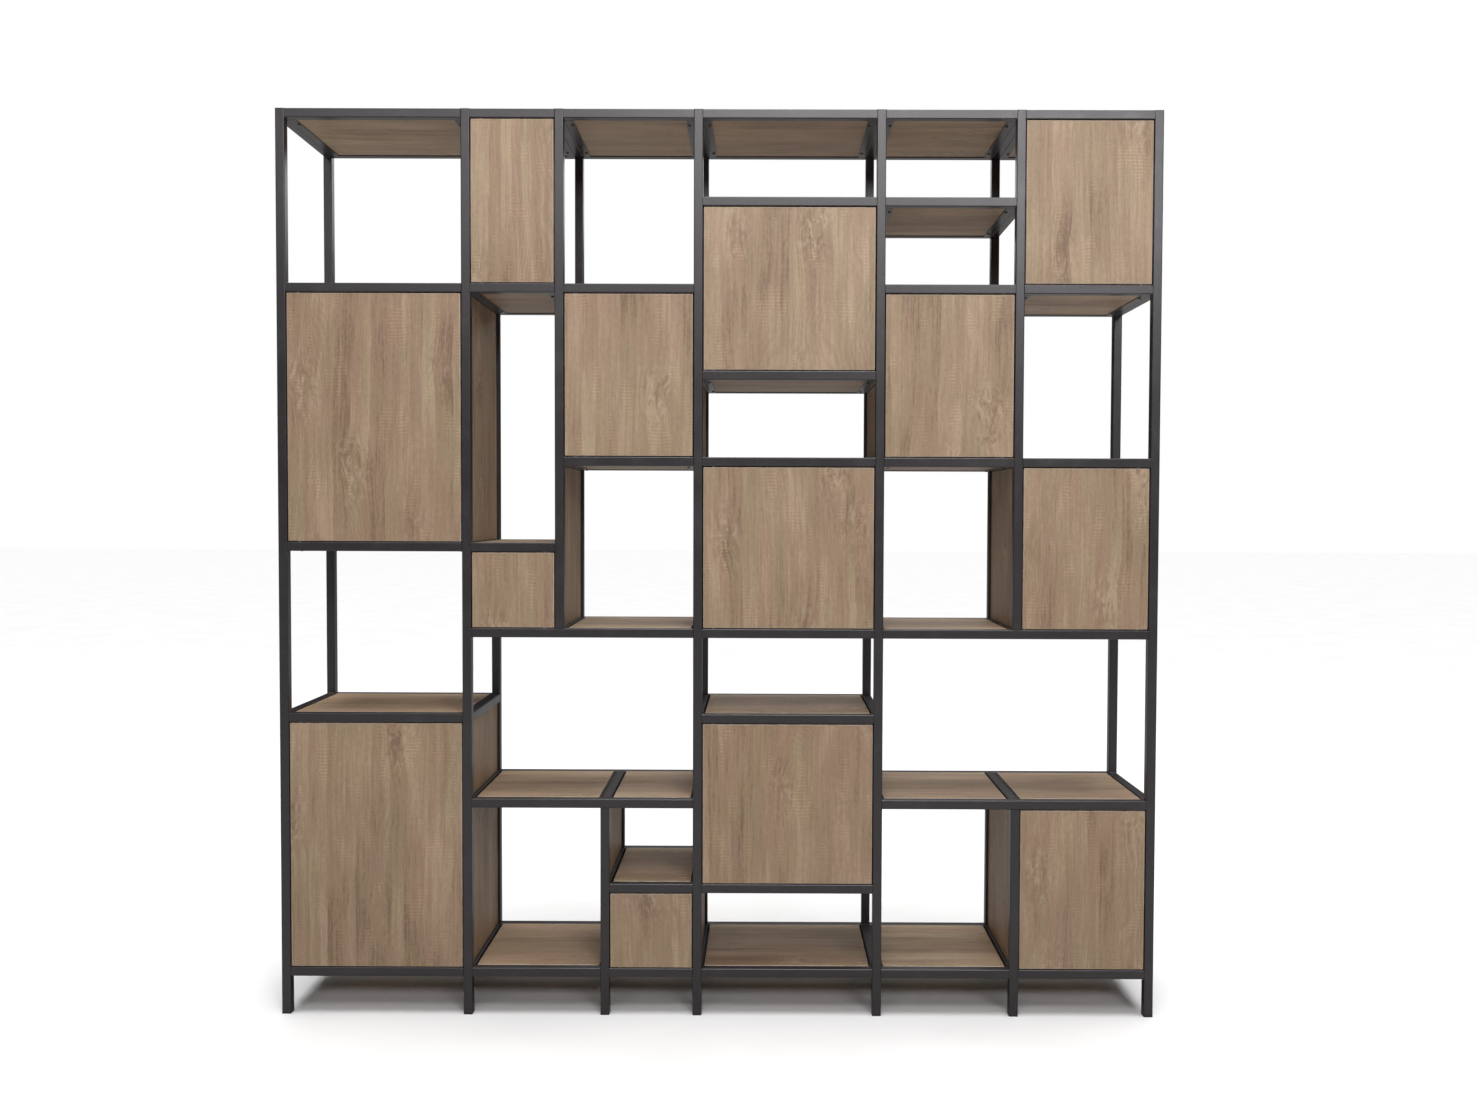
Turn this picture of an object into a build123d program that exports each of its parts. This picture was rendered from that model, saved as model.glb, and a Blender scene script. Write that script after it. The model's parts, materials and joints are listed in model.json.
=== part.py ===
from build123d import *
import os

# Cube storage unit: welded side frames of square tube, joined by front and back rails, filled with
# melamine shelf boards, side panels, back panels and thirteen push-to-open doors.
# Millimetres. +X to the right, +Y to the back, +Z up. The origin is on the floor, under the middle.

os.makedirs("parts", exist_ok=True)

# ---------------------------------------------------------------- driving dimensions
depth = 300
frame_top = 2000
level_pitch = 189.5
level_count = 10
column_pitches = (405, 205, 305, 400, 305, 300)
lower_line_offset = 305

tube = 20
tube_wall = 1.5
tube_corner = 2
foot_plate = 3
cap_plate = 1
plug_depth = 12

spigot_length = 15
spigot_size = 16.6
grub_radius = 2.5
grub_hole_radius = 2.55
grub_length = 6
grub_inset = 7.5

ledge_thickness = 2
ledge_reach = 18
board_thickness = 18
board_side_gap = 4
board_end_gap = 1
panel_thickness = 12
panel_gap = 0.5
panel_recess = 1
tab_thickness = 2
tab_size = 20
tab_spread = 90

screw_shank_radius = 1.75
screw_shank_length = 12
screw_head_radius = 3.5
screw_head_height = 2.5
screw_hole_radius = 1.8
ledge_screw_spread = 100
ledge_screw_inset = 13

door_thickness = 18
door_gap = 2
door_recess = 1
door_edge_radius = 1
pivot_offset = 24
pin_radius = 3
pin_rail_length = 10
pin_door_length = 12
pin_collar_radius = 5
pin_collar_height = 1.9
bush_radius = 6
bush_length = 14
running_clearance = 0.05

latch_offset = 45
latch_width = 18
latch_length = 46
latch_height = 20
latch_front = 24
latch_drop = 11
latch_ear_width = 40
latch_ear_length = 16
latch_ear_thickness = 3
latch_screw_spread = 14
plunger_radius = 3
plunger_length = 42
plunger_clearance = 0.08
plunger_bore_depth = 44
plunger_gap = 0.3
strike_size = 12
strike_thickness = 1.5

# ---------------------------------------------------------------- derived places
LEFT = -1
RIGHT = 1

half_depth = depth / 2
half_tube = tube / 2
inner_depth = depth - 2 * tube
front_y = -half_depth + half_tube
back_y = half_depth - half_tube
half_width = sum(column_pitches) / 2
crossbar_end_y = inner_depth / 2
post_top = frame_top - cap_plate


def level(step):
    """Height of the top of the rails at a level, counted up from 0 at the lowest rails."""
    return frame_top - (level_count - step) * level_pitch


def line_after(columns):
    """X of the post line to the right of that many columns."""
    return -half_width + sum(column_pitches[:columns])


# Post lines: X, foot of the posts and top of the posts.
side_frames = {
    "left_end": (line_after(0), foot_plate, post_top),
    "1_2": (line_after(1), foot_plate, post_top),
    "2_3_upper": (line_after(2), level(4), post_top),
    "2_3_lower": (line_after(1) + lower_line_offset, foot_plate, level(2) - tube),
    "3_4": (line_after(3), foot_plate, post_top),
    "4_5": (line_after(4), foot_plate, post_top),
    "5_6_upper": (line_after(5), level(4), post_top),
    "5_6_lower": (line_after(5), foot_plate, level(2) - tube),
    "right_end": (line_after(6), foot_plate, post_top),
}

# Bays between neighbouring lines, with the levels of their shelf boards.
bays = [
    ("left_end", "1_2", (0, 3, 5, 8, 10)),
    ("1_2", "2_3_upper", (4, 5, 8, 10)),
    ("2_3_upper", "3_4", (4, 6, 8, 10)),
    ("1_2", "2_3_lower", (0, 2)),
    ("2_3_lower", "3_4", (0, 1, 2)),
    ("3_4", "4_5", (0, 1, 3, 4, 6, 7, 9, 10)),
    ("4_5", "5_6_upper", (4, 6, 8, 9, 10)),
    ("5_6_upper", "right_end", (4, 6, 8, 10)),
    ("4_5", "5_6_lower", (0, 2)),
    ("5_6_lower", "right_end", (0, 2)),
]

# Long rails run past the short side frames, which stand on them or end under them.
long_rails = [("1_2", "3_4", 2), ("1_2", "3_4", 4), ("4_5", "right_end", 2), ("4_5", "right_end", 4)]
long_rail_bays = ("2_3_upper", "2_3_lower", "5_6_upper", "5_6_lower")

# Crossbars that stand between two long rails, above or below a short side frame, on spigots.
loose_crossbars = [("2_3_upper", 4), ("2_3_lower", 2), ("5_6_upper", 4), ("5_6_lower", 2)]

# A shelf's end with no crossbar: its ledge is screwed to a side panel that runs on past it.
panel_ledge = ("2_3_upper", LEFT, 5)

# Doors: bay, lower level, upper level, hinge side, and whether side and back panels close the bay.
doors = {
    "column_1_upper": ("left_end", "1_2", 5, 8, LEFT, True),
    "column_1_lower": ("left_end", "1_2", 0, 3, LEFT, True),
    "column_2_upper": ("1_2", "2_3_upper", 8, 10, LEFT, False),
    "column_2_lower": ("1_2", "2_3_upper", 4, 5, RIGHT, True),
    "column_3_upper": ("2_3_upper", "3_4", 6, 8, LEFT, True),
    "column_3_lower": ("2_3_lower", "3_4", 0, 1, LEFT, True),
    "column_4_upper": ("3_4", "4_5", 7, 9, LEFT, True),
    "column_4_middle": ("3_4", "4_5", 4, 6, LEFT, True),
    "column_4_lower": ("3_4", "4_5", 1, 3, LEFT, True),
    "column_5_upper": ("4_5", "5_6_upper", 6, 8, RIGHT, True),
    "column_6_upper": ("5_6_upper", "right_end", 8, 10, RIGHT, False),
    "column_6_middle": ("5_6_upper", "right_end", 4, 6, RIGHT, True),
    "column_6_lower": ("5_6_lower", "right_end", 0, 2, RIGHT, True),
}

# Side panels beside an open bay or two: line, lower level, upper level, side that the tabs are on.
extra_side_panels = [("2_3_upper", 4, 6, LEFT), ("2_3_lower", 1, 2, LEFT)]


def line_x(line):
    """X of a side frame."""
    return side_frames[line][0]


def crossbar_levels(line):
    """Levels at which a side frame has a crossbar, because a shelf board ends there."""
    levels = {step for left, right, steps in bays if line in (left, right) for step in steps}
    if line == panel_ledge[0]:
        levels.remove(panel_ledge[2])
    return sorted(levels)


def bay_span(left, right):
    """X of the two post faces that a bay lies between."""
    return line_x(left) + half_tube, line_x(right) - half_tube


def door_axis(name):
    """X of a door's pivot pins."""
    left, right, _, _, hinge, _ = doors[name]
    low_x, high_x = bay_span(left, right)
    return low_x + pivot_offset if hinge == LEFT else high_x - pivot_offset


def latch_x(name):
    """X of a door's latch, near the edge that opens."""
    left, right, _, _, hinge, _ = doors[name]
    low_x, high_x = bay_span(left, right)
    return high_x - latch_offset if hinge == LEFT else low_x + latch_offset


def side_panels():
    """Every side panel: line, lower level, upper level, side that its tabs are on."""
    panels = {(line, low, high): side for line, low, high, side in extra_side_panels}
    for left, right, low, high, _, enclosed in doors.values():
        for line, side in ((left, RIGHT), (right, LEFT)) if enclosed else ():
            steps = [step for step in crossbar_levels(line) if low <= step <= high]
            for bottom, top in zip(steps, steps[1:]):
                panels.setdefault((line, bottom, top), side)
    return [(*place, side) for place, side in panels.items()]


def save(name, pieces):
    """Write one node as a group of separate solids."""
    for number, piece in enumerate(pieces, 1):
        piece.label = f"{name}_{number}"
    node = Compound(label=name, children=pieces)
    export_step(node, f"parts/{name}.step")


# ---------------------------------------------------------------- frame
def tube_section():
    """Cross-section of the square tube, drawn in the sketch that calls this."""
    RectangleRounded(tube, tube, tube_corner)
    RectangleRounded(tube - 2 * tube_wall, tube - 2 * tube_wall, tube_corner - tube_wall, mode=Mode.SUBTRACT)


def post(x, y, bottom, top):
    """An upright tube."""
    with BuildPart() as bar:
        with BuildSketch(Plane.XY.offset(bottom)):
            with Locations((x, y)):
                tube_section()
        extrude(amount=top - bottom)
    return bar.part


def crossbar(x, height, loose):
    """A tube from front post to back post, or a loose one from rail to rail with grub screw holes."""
    with BuildPart() as bar:
        with BuildSketch(Plane.XZ.offset(-crossbar_end_y)):
            with Locations((x, height - half_tube)):
                tube_section()
        extrude(amount=inner_depth)
        if loose:
            hole_y = crossbar_end_y - grub_inset
            with Locations((x, -hole_y, height - tube), (x, hole_y, height - tube)):
                Cylinder(grub_hole_radius, 2 * tube_wall + 1, mode=Mode.SUBTRACT)
    return bar.part


def rail(left, right, y, height):
    """A tube from post to post, with holes for its grub screws and for the pins of its doors."""
    with BuildPart() as bar:
        with BuildSketch(Plane.YZ.offset(left)):
            with Locations((y, height - half_tube)):
                tube_section()
        extrude(amount=right - left)
        with Locations((left + grub_inset, y, height - tube), (right - grub_inset, y, height - tube)):
            Cylinder(grub_hole_radius, 2 * tube_wall + 1, mode=Mode.SUBTRACT)
        for wall in pin_holes(left, right, height) if y < 0 else ():
            with Locations(wall):
                Cylinder(pin_radius + running_clearance, 2 * tube_wall + 1, mode=Mode.SUBTRACT)
    return bar.part


def pin_holes(left, right, height):
    """Points on a front rail's top or bottom wall where a door's pin goes through."""
    points = []
    for name, (_, _, low, high, _, _) in doors.items():
        x = door_axis(name)
        if left < x < right and level(low) == height:
            points.append((x, front_y, height))
        if left < x < right and level(high) == height:
            points.append((x, front_y, height - tube))
    return points


def ledge(line, side, step):
    """An L angle that carries one end of a shelf board, welded to a crossbar or screwed to a panel."""
    edge = half_tube + ledge_reach
    face = half_tube
    wall_holes = []
    if (line, side, step) == panel_ledge:
        face = half_tube - tab_thickness
        wall_holes = panel_ledge_screws()
    height = level(step)
    x = line_x(line)
    with BuildPart() as angle:
        with Locations((x + side * (face + ledge_thickness / 2), 0, height - half_tube)):
            Box(ledge_thickness, inner_depth, tube)
        with Locations((x + side * (face + edge) / 2, 0, height - tube + ledge_thickness / 2)):
            Box(edge - face, inner_depth, ledge_thickness)
        with Locations(*ledge_screws(line, side, step)):
            Cylinder(screw_hole_radius, 3 * ledge_thickness, mode=Mode.SUBTRACT)
        for point in wall_holes:
            with Locations(point):
                Cylinder(screw_hole_radius, 3 * ledge_thickness, rotation=(0, 90, 0), mode=Mode.SUBTRACT)
    return angle.part


def ledge_screws(line, side, step):
    """Places under a ledge where its two screws start."""
    x = line_x(line) + side * (half_tube + ledge_screw_inset)
    return [(x, y, level(step) - tube) for y in (-ledge_screw_spread, ledge_screw_spread)]


def panel_ledge_screws():
    """Places on the upright leg of the ledge without a crossbar, where its screws start."""
    line, side, step = panel_ledge
    x = line_x(line) + side * (half_tube - tab_thickness + ledge_thickness)
    return [(x, y, level(step) - half_tube) for y in (-ledge_screw_spread, ledge_screw_spread)]


def side_tab_points(line, low, high, side):
    """Middles of the four tabs that hold a side panel."""
    x = line_x(line) + side * (half_tube - tab_thickness / 2)
    heights = (level(low) + tab_size / 2, level(high) - tube - tab_size / 2)
    return [(x, y, z) for y in (-tab_spread, tab_spread) for z in heights]


def back_tab_points(left, right, low, high):
    """Middles of the four tabs that hold a back panel."""
    low_x, high_x = bay_span(left, right)
    inset = (high_x - low_x) / 4
    y = half_depth - panel_recess - panel_thickness - tab_thickness / 2
    heights = (level(low) + tab_size / 2, level(high) - tube - tab_size / 2)
    return [(x, y, z) for x in (low_x + inset, high_x - inset) for z in heights]


def side_tab(point):
    """A small plate on a crossbar, with a screw hole along X."""
    with BuildPart() as tab:
        with Locations(point):
            Box(tab_thickness, tab_size, tab_size)
            Cylinder(screw_hole_radius, 3 * tab_thickness, rotation=(0, 90, 0), mode=Mode.SUBTRACT)
    return tab.part


def back_tab(point):
    """A small plate on a back rail, with a screw hole along Y."""
    with BuildPart() as tab:
        with Locations(point):
            Box(tab_size, tab_thickness, tab_size)
            Cylinder(screw_hole_radius, 3 * tab_thickness, rotation=(90, 0, 0), mode=Mode.SUBTRACT)
    return tab.part


for line, (x, bottom, top) in side_frames.items():
    pieces = [post(x, y, bottom, top) for y in (front_y, back_y)]
    pieces += [crossbar(x, level(step), (line, step) in loose_crossbars) for step in crossbar_levels(line)]
    for left, right, steps in bays:
        if line in (left, right):
            side = RIGHT if line == left else LEFT
            pieces += [ledge(line, side, step) for step in steps]
    for panel in side_panels():
        if panel[0] == line:
            pieces += [side_tab(point) for point in side_tab_points(*panel)]
    save(f"side_frame_{line}", pieces)

rail_runs = [(left, right, step) for left, right, step in long_rails]
for left, right, steps in bays:
    for step in steps:
        covered = step in (2, 4) and (left in long_rail_bays or right in long_rail_bays)
        if not covered:
            rail_runs.append((left, right, step))

front_rails = []
back_rails = []
for left, right, step in rail_runs:
    low_x, high_x = bay_span(left, right)
    front_rails.append(rail(low_x, high_x, front_y, level(step)))
    back_rails.append(rail(low_x, high_x, back_y, level(step)))
for left, right, low, high, _, enclosed in doors.values():
    if enclosed:
        back_rails += [back_tab(point) for point in back_tab_points(left, right, low, high)]
save("front_rails", front_rails)
save("back_rails", back_rails)


# ---------------------------------------------------------------- joints of the frame
def spigot(seat, direction):
    """A block welded to a tube's side at seat, which another tube's end slides over."""
    with BuildPart() as block:
        with BuildSketch(Plane(origin=seat, z_dir=direction)):
            Rectangle(spigot_size, spigot_size)
        extrude(amount=spigot_length)
        if direction[2] == 0:
            tapped = Vector(seat) + Vector(direction) * grub_inset - Vector(0, 0, half_tube)
            with Locations(tapped):
                Cylinder(grub_hole_radius, 2 * grub_length, mode=Mode.SUBTRACT)
    return block.part


def grub_screw(x, y, height):
    """A headless screw, flush with the underside of a rail."""
    with BuildPart() as screw:
        with BuildSketch(Plane.XY.offset(height - tube)):
            with Locations((x, y)):
                Circle(grub_radius)
        extrude(amount=grub_length)
        with BuildSketch(Plane.XY.offset(height - tube)):
            with Locations((x, y)):
                RegularPolygon(grub_radius / 2, 6)
        extrude(amount=grub_length / 2, mode=Mode.SUBTRACT)
    return screw.part


spigots = []
grub_screws = []
for left, right, step in rail_runs:
    low_x, high_x = bay_span(left, right)
    for y in (front_y, back_y):
        for x, side in ((low_x, RIGHT), (high_x, LEFT)):
            spigots.append(spigot((x, y, level(step) - half_tube), (side, 0, 0)))
            grub_screws.append(grub_screw(x + side * grub_inset, y, level(step)))
for line, step in loose_crossbars:
    for side in (LEFT, RIGHT):
        x = line_x(line)
        spigots.append(spigot((x, side * crossbar_end_y, level(step) - half_tube), (0, -side, 0)))
        grub_screws.append(grub_screw(x, side * (crossbar_end_y - grub_inset), level(step)))
for x, bottom, top in side_frames.values():
    for y in (front_y, back_y):
        if bottom > foot_plate:
            spigots.append(spigot((x, y, bottom), (0, 0, 1)))
        if top < post_top:
            spigots.append(spigot((x, y, top), (0, 0, -1)))
save("rail_spigots", spigots)
save("grub_screws", grub_screws)


def plug(x, y, plate_bottom, plate, into):
    """A plastic plug whose plate closes a tube end. It reaches into the tube, up (1) or down (-1)."""
    tube_end = plate_bottom + plate if into > 0 else plate_bottom
    with BuildPart() as piece:
        with BuildSketch(Plane.XY.offset(plate_bottom)):
            with Locations((x, y)):
                RectangleRounded(tube, tube, tube_corner)
        extrude(amount=plate)
        with BuildSketch(Plane.XY.offset(tube_end)):
            with Locations((x, y)):
                Rectangle(spigot_size, spigot_size)
        extrude(amount=into * plug_depth)
    return piece.part


feet = []
post_caps = []
for x, bottom, top in side_frames.values():
    for y in (front_y, back_y):
        if bottom == foot_plate:
            feet.append(plug(x, y, 0, foot_plate, 1))
        if top == post_top:
            post_caps.append(plug(x, y, post_top, cap_plate, -1))
save("feet", feet)
save("post_caps", post_caps)


# ---------------------------------------------------------------- boards and panels
def latch_screws(name):
    """Places on the underside of the board above a door, for the two screws of its latch."""
    y = -half_depth + latch_front + latch_length / 2
    height = level(doors[name][3]) - board_thickness
    return [(latch_x(name) + side * latch_screw_spread, y, height) for side in (LEFT, RIGHT)]


def shelf_board(left, right, step):
    """A shelf board between two ledges, drilled from below for its screws and any latch."""
    low_x, high_x = bay_span(left, right)
    margin = ledge_thickness + board_side_gap
    underside = level(step) - board_thickness
    points = ledge_screws(left, RIGHT, step) + ledge_screws(right, LEFT, step)
    for name, door in doors.items():
        if door[:2] == (left, right) and door[3] == step:
            points += latch_screws(name)
    with BuildPart() as board:
        with Locations(((low_x + high_x) / 2, 0, underside + board_thickness / 2)):
            Box(high_x - low_x - 2 * margin, inner_depth - 2 * board_end_gap, board_thickness)
        with Locations(*points):
            Cylinder(screw_hole_radius, 2 * screw_shank_length, mode=Mode.SUBTRACT)
    return board.part


def side_panel(line, low, high, side):
    """A panel between front post and back post, against its tabs, drilled for their screws."""
    bottom = level(low) + panel_gap
    top = level(high) - tube - panel_gap
    outer = line_x(line) + side * (half_tube - tab_thickness)
    holes = [(outer, y, z) for _, y, z in side_tab_points(line, low, high, side)]
    if line == panel_ledge[0] and low < panel_ledge[2] < high:
        holes += [(outer, y, z) for _, y, z in panel_ledge_screws()]
    with BuildPart() as panel:
        with Locations((outer - side * panel_thickness / 2, 0, (bottom + top) / 2)):
            Box(panel_thickness, inner_depth - 2 * panel_gap, top - bottom)
        with Locations(*holes):
            Cylinder(screw_hole_radius, 2 * (screw_shank_length - tab_thickness), rotation=(0, 90, 0),
                     mode=Mode.SUBTRACT)
    return panel.part


def back_panel(left, right, low, high):
    """A panel that closes the back of a cabinet, against its tabs, drilled for their screws."""
    low_x, high_x = bay_span(left, right)
    bottom = level(low) + panel_gap
    top = level(high) - tube - panel_gap
    inner = half_depth - panel_recess - panel_thickness
    holes = [(x, inner, z) for x, _, z in back_tab_points(left, right, low, high)]
    with BuildPart() as panel:
        with Locations(((low_x + high_x) / 2, inner + panel_thickness / 2, (bottom + top) / 2)):
            Box(high_x - low_x - 2 * panel_gap, panel_thickness, top - bottom)
        with Locations(*holes):
            Cylinder(screw_hole_radius, 2 * (screw_shank_length - tab_thickness), rotation=(90, 0, 0),
                     mode=Mode.SUBTRACT)
    return panel.part


enclosed_bays = [door[:4] for door in doors.values() if door[5]]
save("shelf_boards", [shelf_board(left, right, step) for left, right, steps in bays for step in steps])
save("side_panels", [side_panel(*panel) for panel in side_panels()])
save("back_panels", [back_panel(*bay) for bay in enclosed_bays])


# ---------------------------------------------------------------- wood screws
def wood_screw(under_head, direction):
    """A pan-head screw. Its head seats at under_head and its shank points along direction."""
    seat = Plane(origin=under_head, z_dir=direction)
    with BuildPart() as screw:
        with BuildSketch(seat):
            Circle(screw_shank_radius)
        extrude(amount=screw_shank_length)
        with BuildSketch(seat):
            Circle(screw_head_radius)
        extrude(amount=-screw_head_height)
    return screw.part


screws = []
for left, right, steps in bays:
    for step in steps:
        points = ledge_screws(left, RIGHT, step) + ledge_screws(right, LEFT, step)
        screws += [wood_screw(point, (0, 0, 1)) for point in points]
for line, low, high, side in side_panels():
    for x, y, z in side_tab_points(line, low, high, side):
        screws.append(wood_screw((x + side * tab_thickness / 2, y, z), (-side, 0, 0)))
for bay in enclosed_bays:
    for x, y, z in back_tab_points(*bay):
        screws.append(wood_screw((x, y - tab_thickness / 2, z), (0, 1, 0)))
for name in doors:
    for x, y, z in latch_screws(name):
        screws.append(wood_screw((x, y, z - latch_ear_thickness), (0, 0, 1)))
screws += [wood_screw(point, (-panel_ledge[1], 0, 0)) for point in panel_ledge_screws()]
save("wood_screws", screws)


# ---------------------------------------------------------------- doors, pivots and latches
def pivot_pin(x, seat, direction):
    """A stepped pin. It goes into a rail at seat, with a collar and a stub that point to the door."""
    with BuildPart() as pin:
        with BuildSketch(Plane.XY.offset(seat - direction * pin_rail_length)):
            with Locations((x, front_y)):
                Circle(pin_radius)
        extrude(amount=direction * (pin_rail_length + door_gap + pin_door_length))
        with BuildSketch(Plane.XY.offset(seat)):
            with Locations((x, front_y)):
                Circle(pin_collar_radius)
        extrude(amount=direction * pin_collar_height)
    return pin.part


def bush(x, seat, direction):
    """A round bush in a door's edge, which turns on a pivot pin."""
    with BuildPart() as ring:
        with BuildSketch(Plane.XY.offset(seat)):
            with Locations((x, front_y)):
                Circle(bush_radius)
                Circle(pin_radius + running_clearance, mode=Mode.SUBTRACT)
        extrude(amount=direction * bush_length)
    return ring.part


def door_board(name):
    """A door board with an eased front edge, drilled top and bottom for its bushes."""
    left, right, low, high, _, _ = doors[name]
    low_x, high_x = bay_span(left, right)
    bottom = level(low) + door_gap
    top = level(high) - tube - door_gap
    middle_y = -half_depth + door_recess + door_thickness / 2
    axis_x = door_axis(name)
    with BuildPart() as board:
        with Locations(((low_x + high_x) / 2, middle_y, (bottom + top) / 2)):
            Box(high_x - low_x - 2 * door_gap, door_thickness, top - bottom)
        fillet(board.faces().sort_by(Axis.Y)[0].edges(), door_edge_radius)
        with Locations((axis_x, front_y, bottom), (axis_x, front_y, top)):
            Cylinder(bush_radius + running_clearance, 2 * bush_length, mode=Mode.SUBTRACT)
    return board.part


def strike(name):
    """The small steel plate on a door's back that the latch plunger presses on."""
    back = -half_depth + door_recess + door_thickness
    with BuildPart() as plate:
        with Locations((latch_x(name), back + strike_thickness / 2, latch_height_of(name))):
            Box(strike_size, strike_thickness, strike_size)
    return plate.part


def latch_height_of(name):
    """Height of a latch's plunger, under the board above its door."""
    return level(doors[name][3]) - board_thickness - latch_drop


def latch_body(name):
    """A push latch under the board above a door: a box with a bore, and an ear on each side."""
    x = latch_x(name)
    underside = level(doors[name][3]) - board_thickness
    front = -half_depth + latch_front
    middle_y = front + latch_length / 2
    with BuildPart() as body:
        with Locations((x, middle_y, underside - latch_height / 2)):
            Box(latch_width, latch_length, latch_height)
        with Locations((x, middle_y, underside - latch_ear_thickness / 2)):
            Box(latch_ear_width, latch_ear_length, latch_ear_thickness)
        with Locations(*latch_screws(name)):
            Cylinder(screw_hole_radius, 4 * latch_ear_thickness, mode=Mode.SUBTRACT)
        with Locations((x, front, latch_height_of(name))):
            Cylinder(plunger_radius + plunger_clearance, 2 * plunger_bore_depth, rotation=(90, 0, 0),
                     mode=Mode.SUBTRACT)
    return body.part


def plunger(name):
    """The sprung plunger of a push latch, which rests against the door's strike plate."""
    tip = -half_depth + door_recess + door_thickness + strike_thickness + plunger_gap
    with BuildPart() as rod:
        with BuildSketch(Plane(origin=(latch_x(name), tip, latch_height_of(name)), z_dir=(0, 1, 0))):
            Circle(plunger_radius)
        extrude(amount=plunger_length)
        fillet(rod.faces().sort_by(Axis.Y)[0].edges(), plunger_radius / 3)
    return rod.part


pivot_pins = []
latch_bodies = []
for name, (left, right, low, high, hinge, enclosed) in doors.items():
    axis_x = door_axis(name)
    bottom = level(low)
    top = level(high) - tube
    pivot_pins += [pivot_pin(axis_x, bottom, 1), pivot_pin(axis_x, top, -1)]
    latch_bodies.append(latch_body(name))
    save(f"door_{name}", [door_board(name)])
    bushes = [bush(axis_x, bottom + door_gap, 1), bush(axis_x, top - door_gap, -1)]
    save(f"door_fittings_{name}", bushes + [strike(name)])
    save(f"latch_plunger_{name}", [plunger(name)])
save("pivot_pins", pivot_pins)
save("latch_bodies", latch_bodies)
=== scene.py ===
import bmesh
import bpy
import json
import math
import random
from mathutils import Matrix, Vector

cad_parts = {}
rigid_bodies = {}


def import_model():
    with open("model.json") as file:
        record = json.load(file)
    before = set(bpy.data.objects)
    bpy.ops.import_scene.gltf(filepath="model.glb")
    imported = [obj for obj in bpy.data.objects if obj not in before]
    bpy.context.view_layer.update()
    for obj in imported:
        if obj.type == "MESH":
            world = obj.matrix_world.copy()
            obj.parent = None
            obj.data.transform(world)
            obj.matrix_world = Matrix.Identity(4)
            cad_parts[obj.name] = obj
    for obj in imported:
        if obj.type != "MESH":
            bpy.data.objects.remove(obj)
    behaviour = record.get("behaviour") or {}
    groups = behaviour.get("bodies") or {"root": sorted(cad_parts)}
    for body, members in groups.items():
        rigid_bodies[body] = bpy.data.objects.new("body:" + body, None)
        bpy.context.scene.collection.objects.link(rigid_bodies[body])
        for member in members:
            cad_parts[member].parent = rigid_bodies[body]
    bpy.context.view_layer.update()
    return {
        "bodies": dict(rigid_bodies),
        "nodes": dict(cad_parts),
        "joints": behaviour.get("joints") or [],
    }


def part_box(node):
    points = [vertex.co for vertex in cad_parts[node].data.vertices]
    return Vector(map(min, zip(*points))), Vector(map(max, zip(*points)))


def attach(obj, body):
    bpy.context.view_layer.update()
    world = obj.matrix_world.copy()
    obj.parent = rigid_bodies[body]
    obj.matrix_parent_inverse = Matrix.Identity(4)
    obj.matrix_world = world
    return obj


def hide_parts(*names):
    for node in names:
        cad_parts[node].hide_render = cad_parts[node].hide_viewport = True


# Looks of the storage unit: board pieces with edge bands, powder-coated tube with welds, turned and
# moulded fittings, a pale floor, studio light and the camera. Metres, in the same frame as the CAD.

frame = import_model()
MM = 0.001

# ---------------------------------------------------------------- sizes of the visible detail
BAND = 1.3 * MM
SAW_PITCH = 7.5 * MM
BEVEL_SEGMENTS = 3
ROUND_SEGMENTS = 32
SCREW_SEGMENTS = 16
CAP_PLATE = 1 * MM
FOOT_PLATE = 3 * MM
BUSH_LENGTH = 14 * MM
BUSH_HOLE_RADIUS = 6.05 * MM
WELD_RADIUS = 1.6 * MM
WELD_LENGTH = 16 * MM
WELD_RIPPLE = 1.5 * MM
WELD_RIPPLE_HEIGHT = 0.2 * MM
WELD_SUNK = 0.3 * MM
WELD_STEPS = 36
WELD_ARC_STEPS = 4
WELD_HOLLOW = 0.45
SHORTEST_CROSSBAR = 200 * MM
DECOR_PAPER = 40
X_AXIS, Y_AXIS, Z_AXIS = 0, 1, 2


# ---------------------------------------------------------------- shader helpers
def node(tree, kind, inputs, **settings):
    """A shader node. Each input is set to a value, or linked where the value is an output socket."""
    made = tree.nodes.new(kind)
    for name, value in settings.items():
        setattr(made, name, value)
    for key, value in inputs.items():
        if isinstance(value, bpy.types.NodeSocket):
            tree.links.new(value, made.inputs[key])
        else:
            made.inputs[key].default_value = value
    return made


def maths(tree, operation, first, second=0.0, third=0.0):
    """The result of a Math node."""
    return node(tree, "ShaderNodeMath", {0: first, 1: second, 2: third}, operation=operation).outputs[0]


def ramp(tree, value, low, high):
    """0 at low and 1 at high, with a smooth step between."""
    made = node(tree, "ShaderNodeMapRange", {0: value, 1: low, 2: high}, interpolation_type="SMOOTHSTEP")
    return made.outputs[0]


def blend(tree, factor, first, second, mode="MIX"):
    """A mix of two colours."""
    made = node(tree, "ShaderNodeMix", {0: factor, 6: first, 7: second}, data_type="RGBA", blend_type=mode)
    return made.outputs[2]


def stretched(tree, x, y, x_scale, y_scale, shift=0.0):
    """A vector of two scaled coordinates."""
    first = maths(tree, "MULTIPLY_ADD", x, x_scale, shift)
    second = maths(tree, "MULTIPLY", y, y_scale)
    return node(tree, "ShaderNodeCombineXYZ", {0: first, 1: second}).outputs[0]


def noise(tree, vector, scale=1.0, detail=2.0, roughness=0.5):
    """A noise value around 0.5."""
    inputs = {"Vector": vector, "Scale": scale, "Detail": detail, "Roughness": roughness}
    return node(tree, "ShaderNodeTexNoise", inputs, noise_dimensions="3D").outputs[0]


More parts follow.
